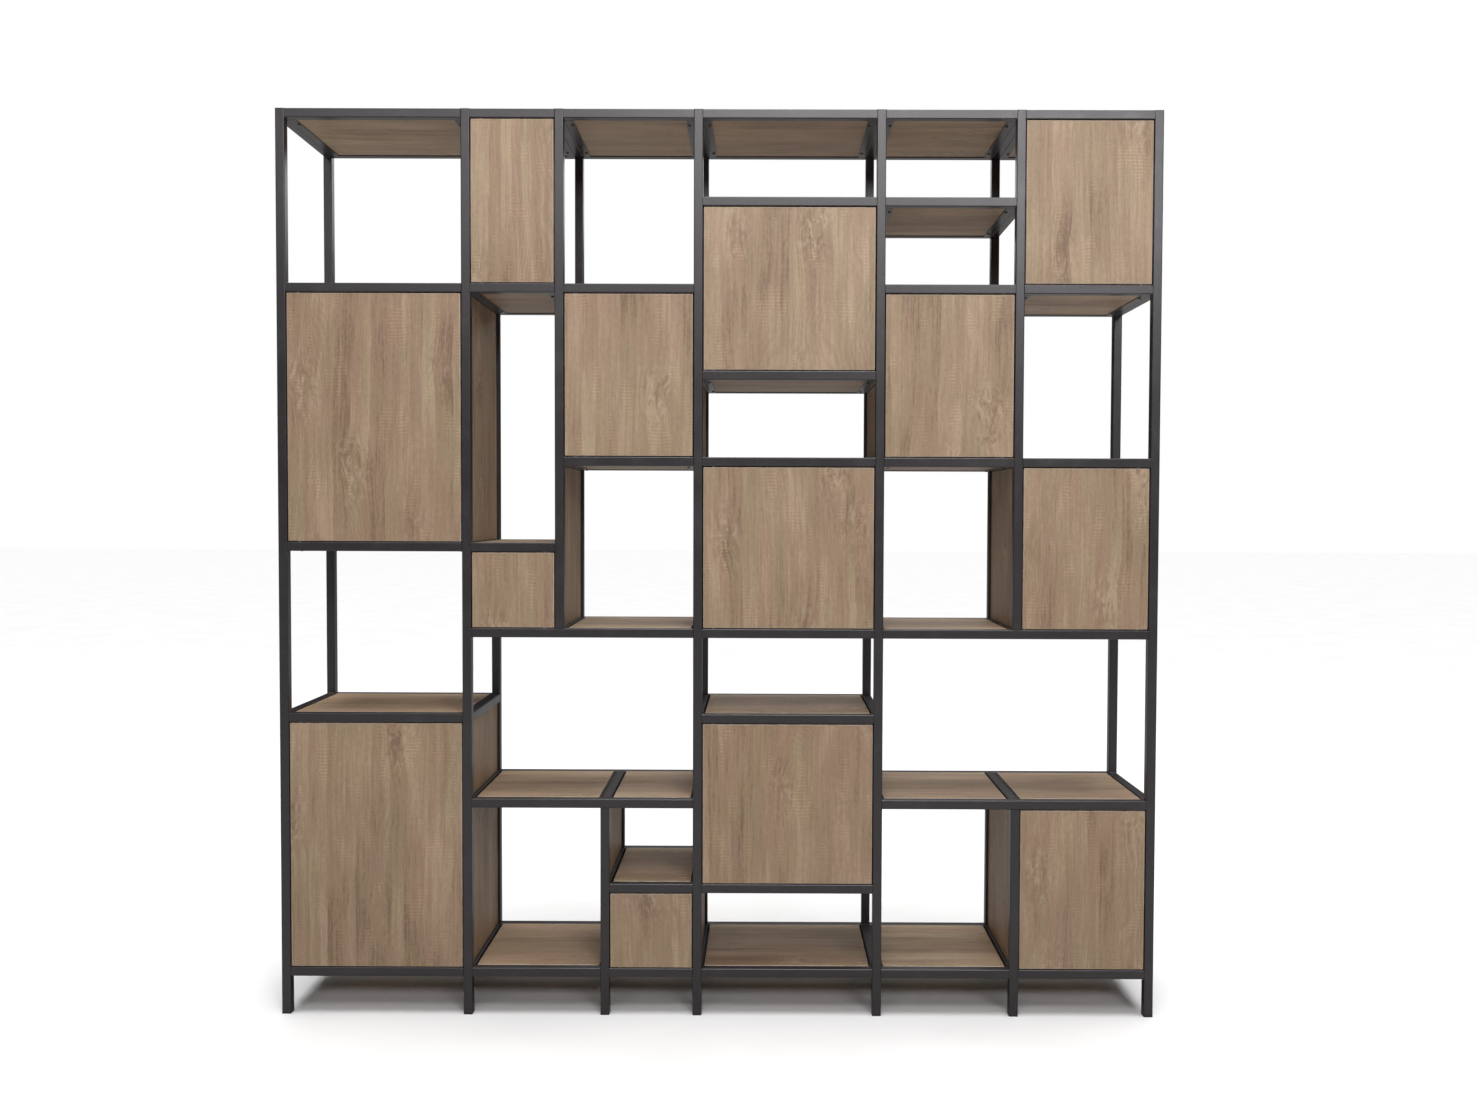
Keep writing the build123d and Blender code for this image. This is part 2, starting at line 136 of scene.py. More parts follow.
def new_material(name, metallic=0.0, specular=0.5):
    """A material with a Principled shader, its node tree and that shader."""
    material = bpy.data.materials.new(name)
    material.use_nodes = True
    shader = material.node_tree.nodes["Principled BSDF"]
    shader.inputs["Metallic"].default_value = metallic
    shader.inputs["Specular IOR Level"].default_value = specular
    return material, material.node_tree, shader


def finish_material(tree, shader, colour, roughness, height, depth):
    """Link a colour, a roughness and a bump of that depth in metres."""
    bump = node(tree, "ShaderNodeBump", {"Height": height, "Distance": depth, "Strength": 1.0})
    tree.links.new(colour, shader.inputs["Base Color"])
    tree.links.new(roughness, shader.inputs["Roughness"])
    tree.links.new(bump.outputs[0], shader.inputs["Normal"])


def object_position(tree):
    """The place on the object, in metres."""
    return node(tree, "ShaderNodeTexCoord", {}).outputs["Object"]


# ---------------------------------------------------------------- materials
OAK_LIGHT = (0.510, 0.372, 0.254, 1)
OAK_MIDDLE = (0.390, 0.268, 0.176, 1)
OAK_DARK = (0.250, 0.160, 0.100, 1)
OAK_CURL = (0.560, 0.425, 0.310, 1)
OAK_ROSE = (1.018, 0.986, 0.990, 1)
OAK_OLIVE = (0.975, 1.01, 0.945, 1)
BAND_COLOUR = (0.600, 0.500, 0.410, 1)
STEEL_COAT = (0.0225, 0.0182, 0.0200, 1)
STEEL_WORN = (0.075, 0.072, 0.078, 1)
ZINC = (0.58, 0.58, 0.59, 1)
ZINC_DULL = (0.36, 0.37, 0.38, 1)
BLACK_ZINC = (0.150, 0.145, 0.150, 1)
BLACK_ZINC_DULL = (0.085, 0.082, 0.085, 1)
BLACK_PLASTIC = (0.016, 0.016, 0.018, 1)
BLACK_SCUFFED = (0.050, 0.050, 0.052, 1)
GREY_PLASTIC = (0.30, 0.30, 0.31, 1)
GREY_SCUFFED = (0.40, 0.40, 0.40, 1)
FLOOR_BOUNCE = (0.36, 0.355, 0.35, 1)


def oak_grain(tree):
    """Grain coordinates: the place across the grain, and the place along it, in metres."""
    grain = node(tree, "ShaderNodeAttribute", {}, attribute_name="grain").outputs["Vector"]
    parts = node(tree, "ShaderNodeSeparateXYZ", {0: grain})
    return parts.outputs[0], parts.outputs[1]


def oak_decor():
    """Printed and embossed light oak: staves of tone and hue, fibres, curls, saw marks and pores."""
    material, tree, shader = new_material("oak_decor", specular=0.5)
    across, along = oak_grain(tree)

    # The grain drifts sideways, and wanders more beside a curl.
    cell_inputs = {"Vector": stretched(tree, across, along, 7.0, 3.4), "Scale": 1.0}
    cells = node(tree, "ShaderNodeTexVoronoi", cell_inputs)
    knot = ramp(tree, cells.outputs["Distance"], 0.42, 0.05)
    drift = noise(tree, stretched(tree, across, along, 3.0, 0.8), detail=2.0)
    wander = noise(tree, stretched(tree, across, along, 26.0, 11.0), detail=3.0)
    bent = maths(tree, "MULTIPLY_ADD", drift, 0.05, across)
    bent = maths(tree, "MULTIPLY_ADD", wander, maths(tree, "MULTIPLY_ADD", knot, 0.030, 0.006), bent)
    fibre = noise(tree, stretched(tree, bent, along, 420.0, 13.0), detail=4.0, roughness=0.65)

    # Staves: the printed decor joins strips of oak, and each strip changes slowly along its length.
    ragged = maths(tree, "MULTIPLY_ADD", fibre, 0.16, maths(tree, "MULTIPLY", bent, 36.0))
    stave = node(tree, "ShaderNodeTexVoronoi", {"W": ragged, "Scale": 1.0}, voronoi_dimensions="1D")
    stave_number = node(tree, "ShaderNodeSeparateColor", {0: stave.outputs["Color"]}).outputs[0]
    stave_tone = noise(tree, stretched(tree, stave_number, along, 90.0, 2.2), detail=2.0)
    stave_hue = noise(tree, stretched(tree, stave_number, along, 70.0, 3.0, 30.0), detail=2.0)

    streak = noise(tree, stretched(tree, bent, along, 85.0, 2.2), detail=4.0, roughness=0.6)
    dashes = noise(tree, stretched(tree, bent, along, 190.0, 9.0, 12.0), detail=3.0, roughness=0.6)
    cloud = noise(tree, stretched(tree, across, along, 8.0, 3.0, 2.0), detail=3.0)
    fleck = noise(tree, stretched(tree, across, along, 170.0, 85.0, 5.0), detail=3.0, roughness=0.6)
    tone = maths(tree, "MULTIPLY_ADD", fibre, 0.75, -1.70)
    tone = maths(tree, "MULTIPLY_ADD", fleck, 0.50, tone)
    tone = maths(tree, "MULTIPLY_ADD", streak, 0.80, tone)
    tone = maths(tree, "MULTIPLY_ADD", dashes, 0.70, tone)
    tone = maths(tree, "MULTIPLY_ADD", stave_tone, 1.35, tone)
    tone = maths(tree, "MULTIPLY_ADD", cloud, 0.75, tone)
    light_to_middle = blend(tree, ramp(tree, tone, 0.30, 0.85), OAK_LIGHT, OAK_MIDDLE)
    colour = blend(tree, ramp(tree, tone, 0.80, 1.20), light_to_middle, OAK_DARK)
    tint = blend(tree, ramp(tree, stave_hue, 0.38, 0.62), OAK_ROSE, OAK_OLIVE)
    colour = blend(tree, 1.0, colour, tint, "MULTIPLY")

    # Growth arcs: dark lines that bulge, in some strips only.
    bulge = noise(tree, stretched(tree, across, along, 5.0, 2.6, 9.0), detail=2.0)
    growth = maths(tree, "MULTIPLY_ADD", bulge, 26.0, maths(tree, "MULTIPLY", bent, 90.0))
    turn = maths(tree, "FRACT", growth)
    arc = maths(tree, "MULTIPLY", ramp(tree, turn, 0.30, 0.85), ramp(tree, turn, 1.0, 0.90))
    figured = ramp(tree, noise(tree, stretched(tree, across, along, 6.5, 1.6, 4.0), detail=1.0), 0.54, 0.64)
    strength = maths(tree, "MULTIPLY", maths(tree, "MULTIPLY", arc, figured), 0.24)
    colour = blend(tree, strength, colour, OAK_DARK)

    # Curls: wavy light and dark flames where the log had a knot.
    flame_inputs = {"Vector": stretched(tree, across, along, 62.0, 27.0), "Scale": 1.0, "Detail": 3.0,
                    "Distortion": 1.6}
    flame = node(tree, "ShaderNodeTexNoise", flame_inputs).outputs[0]
    light_flame = maths(tree, "MULTIPLY", ramp(tree, flame, 0.54, 0.64), knot)
    dark_flame = maths(tree, "MULTIPLY", ramp(tree, flame, 0.47, 0.36), knot)
    colour = blend(tree, maths(tree, "MULTIPLY", light_flame, 0.85), colour, OAK_CURL)
    colour = blend(tree, maths(tree, "MULTIPLY", dark_flame, 0.85), colour, OAK_DARK)

    # Saw marks: fine light lines across the grain, in patches.
    shake = noise(tree, stretched(tree, across, along, 30.0, 14.0), detail=1.0)
    phase = maths(tree, "MULTIPLY_ADD", shake, 6.0, maths(tree, "MULTIPLY", along, 2 * math.pi / SAW_PITCH))
    patch = noise(tree, stretched(tree, bent, along, 30.0, 9.0, 3.0), detail=2.0)
    ridges = ramp(tree, maths(tree, "SINE", phase), 0.1, 1.0)
    saw = maths(tree, "MULTIPLY", ridges, ramp(tree, patch, 0.55, 0.66))
    brighter = maths(tree, "MULTIPLY_ADD", saw, 0.20, 1.0)
    colour = node(tree, "ShaderNodeHueSaturation", {"Color": colour, "Value": brighter}).outputs[0]

    pore_noise = noise(tree, stretched(tree, bent, along, 1300.0, 60.0), detail=1.0)
    pore = ramp(tree, pore_noise, 0.62, 0.74)
    colour = blend(tree, maths(tree, "MULTIPLY", pore, 0.40), colour, OAK_DARK)

    height = maths(tree, "MULTIPLY_ADD", saw, 0.30, maths(tree, "MULTIPLY", fibre, 0.6))
    height = maths(tree, "MULTIPLY_ADD", pore, -1.0, height)
    roughness = maths(tree, "MULTIPLY_ADD", fibre, 0.16, 0.42)
    finish_material(tree, shader, colour, roughness, height, 0.10 * MM)
    return material


def oak_band():
    """Edge band: plain light oak with fine lines along its length and a faint mottle."""
    material, tree, shader = new_material("oak_edge_band", specular=0.5)
    across, along = oak_grain(tree)
    line = noise(tree, stretched(tree, across, along, 40.0, 40.0), detail=5.0, roughness=0.7)
    tone = noise(tree, stretched(tree, across, along, 300.0, 4.0), detail=3.0)
    colour = blend(tree, ramp(tree, maths(tree, "ADD", line, maths(tree, "MULTIPLY", tone, 0.5)), 0.55, 1.0),
                   BAND_COLOUR, OAK_MIDDLE)
    roughness = maths(tree, "MULTIPLY_ADD", line, 0.2, 0.35)
    finish_material(tree, shader, colour, roughness, tone, 0.03 * MM)
    return material


def edge_wear(tree, radius, low, high):
    """1 on sharp outer edges and 0 on flats, broken up by noise."""
    position = object_position(tree)
    rounded = node(tree, "ShaderNodeBevel", {"Radius": radius}, samples=4).outputs[0]
    flat = node(tree, "ShaderNodeNewGeometry", {}).outputs["Normal"]
    turn = node(tree, "ShaderNodeVectorMath", {0: rounded, 1: flat}, operation="DOT_PRODUCT")
    edge = ramp(tree, turn.outputs["Value"], 0.99, 0.86)
    broken = ramp(tree, noise(tree, position, scale=90.0, detail=6.0, roughness=0.7), low, high)
    return maths(tree, "MULTIPLY", edge, broken)


def powder_coat():
    """Charcoal powder coat: fine orange peel, faint dust and rubbed edges."""
    material, tree, shader = new_material("powder_coat", specular=0.8)
    position = object_position(tree)
    peel = noise(tree, position, scale=1100.0, detail=2.0)
    dust = noise(tree, position, scale=14.0, detail=8.0, roughness=0.7)
    wear = edge_wear(tree, 1.0 * MM, 0.50, 0.72)
    dusty = maths(tree, "MULTIPLY", ramp(tree, dust, 0.45, 0.75), 0.22)
    rubbed = maths(tree, "MAXIMUM", dusty, maths(tree, "MULTIPLY", wear, 0.8))
    colour = blend(tree, rubbed, STEEL_COAT, STEEL_WORN)
    roughness = maths(tree, "MULTIPLY_ADD", dust, 0.20, 0.24)
    finish_material(tree, shader, colour, roughness, peel, 0.025 * MM)
    return material


def zinc_plate(name, bright, dull):
    """Zinc on turned and pressed steel, with faint dull spots."""
    material, tree, shader = new_material(name, metallic=1.0)
    position = object_position(tree)
    spots = noise(tree, position, scale=260.0, detail=6.0, roughness=0.65)
    colour = blend(tree, ramp(tree, spots, 0.4, 0.7), bright, dull)
    roughness = maths(tree, "MULTIPLY_ADD", spots, 0.35, 0.15)
    finish_material(tree, shader, colour, roughness, spots, 0.02 * MM)
    return material


def moulded_plastic(name, base, scuffed, grain_scale):
    """Moulded plastic with a fine spark-eroded texture and scuffed edges."""
    material, tree, shader = new_material(name, specular=0.5)
    position = object_position(tree)
    texture = noise(tree, position, scale=grain_scale, detail=3.0)
    scuff = noise(tree, position, scale=60.0, detail=7.0, roughness=0.7)
    wear = maths(tree, "MAXIMUM", edge_wear(tree, 0.5 * MM, 0.45, 0.7), ramp(tree, scuff, 0.62, 0.8))
    colour = blend(tree, maths(tree, "MULTIPLY", wear, 0.6), base, scuffed)
    roughness = maths(tree, "MULTIPLY_ADD", scuff, 0.3, 0.35)
    finish_material(tree, shader, colour, roughness, texture, 0.04 * MM)
    return material


def pale_floor():
    """Matt pale studio floor. It looks near white, and throws less light back under the unit."""
    material, tree, shader = new_material("studio_floor", specular=0.2)
    position = object_position(tree)
    mottle = noise(tree, position, scale=3.0, detail=4.0)
    seen = blend(tree, ramp(tree, mottle, 0.3, 0.7), (0.90, 0.90, 0.90, 1), (0.93, 0.93, 0.93, 1))
    path = node(tree, "ShaderNodeLightPath", {})
    colour = blend(tree, path.outputs["Is Camera Ray"], FLOOR_BOUNCE, seen)
    roughness = maths(tree, "MULTIPLY_ADD", mottle, 0.1, 0.8)
    finish_material(tree, shader, colour, roughness, mottle, 0.1 * MM)
    return material


OAK = oak_decor()
EDGE_BAND = oak_band()
COAT = powder_coat()
PLATED = zinc_plate("zinc_plate", ZINC, ZINC_DULL)
BLACKENED = zinc_plate("black_zinc_plate", BLACK_ZINC, BLACK_ZINC_DULL)
BLACK = moulded_plastic("black_plastic", BLACK_PLASTIC, BLACK_SCUFFED, 900.0)
GREY = moulded_plastic("grey_plastic", GREY_PLASTIC, GREY_SCUFFED, 1200.0)


# ---------------------------------------------------------------- mesh helpers
def new_object(name, data):
    """An object in the scene that shows some data."""
    made = bpy.data.objects.new(name, data)
    bpy.context.scene.collection.objects.link(made)
    return made


def add_copy(mesh, part):
    """Add a finished bmesh to another one, and free it."""
    data = bpy.data.meshes.new("copy")
    part.to_mesh(data)
    part.free()
    mesh.from_mesh(data)
    bpy.data.meshes.remove(data)


def islands(name):
    """The separate solids of a CAD node, each as the list of its points, in a fixed order."""
    mesh = bmesh.new()
    mesh.from_mesh(frame["nodes"][name].data)
    bmesh.ops.remove_doubles(mesh, verts=mesh.verts, dist=0.002 * MM)
    unseen = set(mesh.verts)
    solids = []
    for start in mesh.verts:
        if start not in unseen:
            continue
        unseen.discard(start)
        reached = [start]
        for vertex in reached:
            for edge in vertex.link_edges:
                other = edge.other_vert(vertex)
                if other in unseen:
                    unseen.discard(other)
                    reached.append(other)
        solids.append([vertex.co.copy() for vertex in reached])
    mesh.free()
    return sorted(solids, key=lambda points: tuple(round(value, 4) for value in box_of(points)[0]))


def box_of(points):
    """Lowest and highest corner of some points."""
    low = Vector([min(point[axis] for point in points) for axis in range(3)])
    high = Vector([max(point[axis] for point in points) for axis in range(3)])
    return low, high


def finish_piece(name, mesh, materials, body, replaced):
    """Make the object of a finished bmesh and tell the frame about it."""
    data = bpy.data.meshes.new(name)
    mesh.to_mesh(data)
    mesh.free()
    for material in materials:
        data.materials.append(material)
    piece = new_object(name, data)
    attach(piece, body)
    if replaced:
        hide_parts(*replaced)


def add_box(mesh, low, high, radius, segments=BEVEL_SEGMENTS):
    """Add a box with rounded edges. Its flats stay flat shaded and its rounded edges smooth."""
    size = high - low
    place = Matrix.Translation((low + high) / 2) @ Matrix.Diagonal((*size, 1))
    made = bmesh.ops.create_cube(mesh, size=1, matrix=place)
    edges = list({edge for vertex in made["verts"] for edge in vertex.link_edges})
    rounded = bmesh.ops.bevel(mesh, geom=edges, offset=radius, segments=segments, profile=0.5,
                              affect="EDGES")
    for face in rounded["faces"]:
        face.smooth = True


def turned_rings(mesh, start, direction, profile, segments):
    """Rings of points round an axis, one for each (distance along direction, radius) of the profile."""
    turn = Vector((0, 0, 1)).rotation_difference(Vector(direction)).to_matrix().to_4x4()
    place = Matrix.Translation(start) @ turn
    rings = []
    for distance, radius in profile:
        ring = []
        for step in range(segments):
            angle = 2 * math.pi * step / segments
            point = Vector((radius * math.cos(angle), radius * math.sin(angle), distance))
            ring.append(mesh.verts.new(place @ point))
        rings.append(ring)
    return rings


def join_rings(mesh, lower, upper):
    """A smooth band of faces between two rings."""
    segments = len(lower)
    for step in range(segments):
        after = (step + 1) % segments
        face = mesh.faces.new((lower[step], lower[after], upper[after], upper[step]))
        face.smooth = True


def add_turned(mesh, start, direction, profile, segments=ROUND_SEGMENTS):
    """Add a solid turned part, closed by a flat at each end."""
    rings = turned_rings(mesh, start, direction, profile, segments)
    for lower, upper in zip(rings, rings[1:]):
        join_rings(mesh, lower, upper)
    mesh.faces.new(list(reversed(rings[0])))
    mesh.faces.new(rings[-1])


def add_turned_ring(mesh, start, direction, profile, segments=ROUND_SEGMENTS):
    """Add a turned ring: the profile is a closed loop."""
    rings = turned_rings(mesh, start, direction, profile, segments)
    for number, lower in enumerate(rings):
        join_rings(mesh, lower, rings[(number + 1) % len(rings)])


def cut(mesh, cutters):
    """Take cutter meshes away from a bmesh, and return the result as a new bmesh."""
    body = new_object("cut_body", bpy.data.meshes.new("cut_body"))
    mesh.to_mesh(body.data)
    mesh.free()
    tools = []
    for cutter in cutters:
        tool = new_object("cut_tool", bpy.data.meshes.new("cut_tool"))
        bmesh.ops.recalc_face_normals(cutter, faces=cutter.faces)
        cutter.to_mesh(tool.data)
        cutter.free()
        modifier = body.modifiers.new("cut", "BOOLEAN")
        modifier.object = tool
        modifier.solver = "EXACT"
        tools.append(tool)
    evaluated = body.evaluated_get(bpy.context.evaluated_depsgraph_get())
    result = bmesh.new()
    result.from_mesh(evaluated.to_mesh())
    evaluated.to_mesh_clear()
    for leftover in [body, *tools]:
        data = leftover.data
        bpy.data.objects.remove(leftover)
        bpy.data.meshes.remove(data)
    return result


def turned_cutter(start, direction, length, radius):
    """A plain round cutter."""
    cutter = bmesh.new()
    add_turned(cutter, start, direction, [(0, radius), (length, radius)])
    return cutter


# ---------------------------------------------------------------- boards, panels and doors
def set_grain(mesh, along_axis, face_axis, shift):
    """Store grain coordinates: across the grain and along it."""
    across_axis = 3 - along_axis - face_axis
    layer = mesh.verts.layers.float_vector.new("grain")
    for vertex in mesh.verts:
        vertex[layer] = Vector((vertex.co[across_axis], vertex.co[along_axis], 0)) + shift


def board_piece(name, low, high, along_axis, face_axis, body, replaced, shift, bores=()):
    """A decor-faced board with a rounded edge band all round."""
    mesh = bmesh.new()
    add_box(mesh, low, high, BAND)
    if bores:
        mesh = cut(mesh, bores)
    for face in mesh.faces:
        on_face = abs(face.normal[face_axis]) > 0.99
        face.material_index = 0 if on_face else 1
        if on_face:
            face.smooth = False
    set_grain(mesh, along_axis, face_axis, shift)
    finish_piece(name, mesh, [OAK, EDGE_BAND], body, replaced)


def decor_shift(chance):
    """A place on the decor paper for one board."""
    return Vector((chance.uniform(0, DECOR_PAPER), chance.uniform(0, DECOR_PAPER), 0))


chance = random.Random(7)
for node_name, along_axis, face_axis in (("shelf_boards", X_AXIS, Z_AXIS), ("side_panels", Z_AXIS, X_AXIS),
                                         ("back_panels", Z_AXIS, Y_AXIS)):
    for number, points in enumerate(islands(node_name), 1):
        low, high = box_of(points)
        board_piece(f"{node_name}_{number:02d}", low, high, along_axis, face_axis, "frame", [node_name],
                    decor_shift(chance))

doors = [name for name in frame["bodies"] if name.startswith("door_")]
hinges = {joint["child"]: joint for joint in frame["joints"] if joint["type"] == "hinge"}
for door in doors:
    low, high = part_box(door)
    axis_x, axis_y, _ = hinges[door]["pos_m"]
    bores = []
    for end, direction in ((low.z, 1), (high.z, -1)):
        outside = Vector((axis_x, axis_y, end - direction * 1 * MM))
        bores.append(turned_cutter(outside, (0, 0, direction), BUSH_LENGTH + 1 * MM, BUSH_HOLE_RADIUS))
    board_piece(f"{door}_board", low, high, Z_AXIS, Y_AXIS, door, [door], decor_shift(chance), bores)


# ---------------------------------------------------------------- steel frame and its welds
def paint(name, material):
    """Give a CAD node its material."""
    data = frame["nodes"][name].data
    data.materials.clear()
    data.materials.append(material)


def add_weld(mesh, middle, length, post_side, bar_side):
    """A rippled fillet bead along X, in the corner between a post face and a crossbar face."""
    rings = []
    for step in range(WELD_STEPS + 1):
        share = step / WELD_STEPS
        taper = min(1.0, 6 * min(share, 1 - share) + 0.3)
        ripple = WELD_RIPPLE_HEIGHT * abs(math.sin(math.pi * share * length / WELD_RIPPLE))
        radius = WELD_RADIUS * taper + ripple
        x = middle.x + (share - 0.5) * length
        root_y = middle.y + post_side * WELD_SUNK
        root_z = middle.z - bar_side * WELD_SUNK
        ring = [mesh.verts.new((x, root_y, root_z))]
        for arc_step in range(WELD_ARC_STEPS + 1):
            angle = math.pi / 2 * arc_step / WELD_ARC_STEPS
            reach = radius * (1 - WELD_HOLLOW * math.sin(2 * angle))
            y = middle.y - post_side * reach * math.cos(angle)
            z = middle.z + bar_side * reach * math.sin(angle)
            ring.append(mesh.verts.new((x, y, z)))
        rings.append(ring)
    for lower, upper in zip(rings, rings[1:]):
        join_rings(mesh, lower, upper)
    mesh.faces.new(list(reversed(rings[0])))
    mesh.faces.new(rings[-1])


def inside_a_panel(place, panel_boxes):
    """True where a side panel's corner leaves no room for a bead."""
    room = 2 * WELD_RADIUS
    for low, high in panel_boxes:
        if all(low[axis] - room < place[axis] < high[axis] + room for axis in range(3)):
            return True
    return False


def weld_beads():
    """Beads above and below each crossbar's ends. Crossbars that stand on spigots have none."""
    mesh = bmesh.new()
    panel_boxes = [box_of(points) for points in islands("side_panels")]
    for name in sorted(frame["nodes"]):
        if not name.startswith("side_frame"):
            continue
        frame_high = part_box(name)[1]
        boxes = [box_of(points) for points in islands(name)]
        posts = max(boxes, key=lambda box: box[1].z - box[0].z)
        tube = posts[1].x - posts[0].x
        heights = set()
        for low, high in boxes:
            if high.y - low.y > SHORTEST_CROSSBAR and high.z - low.z < 2 * tube:
                heights.add(round(low.z, 4))
        if name.endswith("_upper"):
            heights.discard(min(heights))
        if name.endswith("_lower"):
            heights.discard(max(heights))
        for height in sorted(heights):
            for side, bar_side in ((-1, -1), (-1, 1), (1, -1), (1, 1)):
                level = height + tube if bar_side > 0 else height
                place = Vector(((posts[0].x + posts[1].x) / 2, side * (frame_high.y - tube), level))
                if level < frame_high.z - tube / 2 and not inside_a_panel(place, panel_boxes):
                    add_weld(mesh, place, WELD_LENGTH, side, bar_side)
    bmesh.ops.recalc_face_normals(mesh, faces=mesh.faces)
    finish_piece("weld_beads", mesh, [COAT], "frame", [])


for name in frame["nodes"]:
    if name.startswith("side_frame") or name in ("front_rails", "back_rails", "rail_spigots"):
        paint(name, COAT)
paint("grub_screws", BLACKENED)
paint("pivot_pins", PLATED)
weld_beads()


# ---------------------------------------------------------------- plugs, screws, latches and door fittings
def tube_plugs(name, plate, plate_side):
    """Moulded plugs in tube ends: a rounded plate, and a core with two gripping fins."""
    core_inset = 3.2 * MM
    fin_inset = 1.6 * MM
    fin = 0.9 * MM
    mesh = bmesh.new()
    for points in islands(name):
        low, high = box_of(points)
        outer = high.z if plate_side > 0 else low.z
        inner = low.z if plate_side > 0 else high.z
        plate_inner = outer - plate_side * plate
        plate_z = sorted((outer, plate_inner))
        core_z = sorted((plate_inner + plate_side * plate / 2, inner))
        add_box(mesh, Vector((low.x, low.y, plate_z[0])), Vector((high.x, high.y, plate_z[1])), 0.4 * plate)
        inset = Vector((core_inset, core_inset, 0))
        core_low = Vector((low.x, low.y, core_z[0])) + inset
        core_high = Vector((high.x, high.y, core_z[1])) - inset
        add_box(mesh, core_low, core_high, 0.6 * MM)
        for share in (0.3, 0.75):
            middle = plate_inner + (inner - plate_inner) * share
            reach = Vector((fin_inset, fin_inset, 0))
            add_box(mesh, Vector((low.x, low.y, middle - fin / 2)) + reach,
                    Vector((high.x, high.y, middle + fin / 2)) - reach, 0.3 * MM, 1)
    finish_piece(f"{name}_moulded", mesh, [BLACK], "frame", [name])


def screw_template():
    """A pan head screw with a cross recess. Its shank runs along Z from the head's underside."""
    head_radius = 3.5 * MM
    shank_radius = 1.6 * MM
    shank = 12 * MM
    mesh = bmesh.new()
    head = [(-2.45 * MM, 1.3 * MM), (-2.25 * MM, 2.3 * MM), (-1.75 * MM, 3.05 * MM), (-1.0 * MM, 3.42 * MM),
            (-0.25 * MM, head_radius), (0, head_radius - 0.2 * MM)]
    point = [(0, shank_radius), (shank - 2 * MM, shank_radius), (shank, 0.3 * MM)]
    add_turned(mesh, (0, 0, 0), (0, 0, 1), head + point, SCREW_SEGMENTS)
    arms = []
    for long_axis in (0, 1):
        reach = Vector((0.45 * MM, 0.45 * MM, 0))
        reach[long_axis] = 1.9 * MM
        arm = bmesh.new()
        add_box(arm, Vector((0, 0, -3.5 * MM)) - reach, Vector((0, 0, -1.1 * MM)) + reach, 0.1 * MM, 1)
        arms.append(arm)
    return cut(mesh, arms)


def screws(name, chance):
    """Place the screw template on each of the node's screws, turned by chance."""
    head_height = 2.5 * MM
    template = bpy.data.meshes.new("screw_template")
    made = screw_template()
    made.to_mesh(template)
    made.free()
    mesh = bmesh.new()
    for points in islands(name):
        low, high = box_of(points)
        middle = (low + high) / 2
        long_axis = max(range(3), key=lambda axis: high[axis] - low[axis])
        width_axis = (long_axis + 1) % 3
        head_radius = (high[width_axis] - low[width_axis]) / 2
        rim = [point for point in points if abs(point[width_axis] - middle[width_axis]) > 0.9 * head_radius]
        rim_place = sum(point[long_axis] for point in rim) / len(rim)
        forward = 1 if rim_place < middle[long_axis] else -1
        direction = Vector((0, 0, 0))
        direction[long_axis] = forward
        start = middle.copy()
        start[long_axis] = low[long_axis] + head_height if forward > 0 else high[long_axis] - head_height
        turn = Vector((0, 0, 1)).rotation_difference(direction).to_matrix().to_4x4()
        spin = Matrix.Rotation(chance.uniform(0, math.pi / 2), 4, "Z")
        copied = bmesh.new()
        copied.from_mesh(template)
        copied.transform(Matrix.Translation(start) @ turn @ spin)
        add_copy(mesh, copied)
    bpy.data.meshes.remove(template)
    finish_piece(f"{name}_pan_head", mesh, [BLACKENED], "frame", [name])


def latch_housings():
    """Push latch housings: a rounded body with a chamfered bore and side grooves, on two screw ears."""
    body_width = 18 * MM
    ear_length = 16 * MM
    ear_thickness = 3 * MM
    bore_drop = 11 * MM
    bore_radius = 3.08 * MM
    bore_depth = 44 * MM
    mouth = 4.1 * MM
    groove_depth = 0.8 * MM
    groove_start = 20 * MM
    groove_end = 4 * MM
    groove_bottom = 15 * MM
    groove_top = 7 * MM
    ear_start = 4 * MM
    mesh = bmesh.new()
    for points in islands("latch_bodies"):
        low, high = box_of(points)
        middle = (low.x + high.x) / 2
        body_low = Vector((middle - body_width / 2, low.y, low.z))
        body_high = Vector((middle + body_width / 2, high.y, high.z))
        body = bmesh.new()
        add_box(body, body_low, body_high, 1.2 * MM)
        bore = bmesh.new()
        add_turned(bore, (middle, low.y - 1 * MM, high.z - bore_drop), (0, 1, 0),
                   [(0, mouth), (1 * MM, mouth), (2 * MM, bore_radius), (bore_depth + 1 * MM, bore_radius)])
        cutters = [bore]
        for edge_x in (body_low.x, body_high.x):
            groove = bmesh.new()
            groove_low = Vector((edge_x - groove_depth, low.y + groove_start, high.z - groove_bottom))
            groove_high = Vector((edge_x + groove_depth, high.y - groove_end, high.z - groove_top))
            add_box(groove, groove_low, groove_high, 0.3 * MM, 1)
            cutters.append(groove)
        finished = cut(body, cutters)
        ear_low = Vector((low.x, low.y + ear_start, high.z - ear_thickness))
        ear_high = Vector((high.x, low.y + ear_start + ear_length, high.z))
        add_box(finished, ear_low, ear_high, 0.8 * MM)
        add_copy(mesh, finished)
    finish_piece("latch_housings", mesh, [GREY], "frame", ["latch_bodies"])


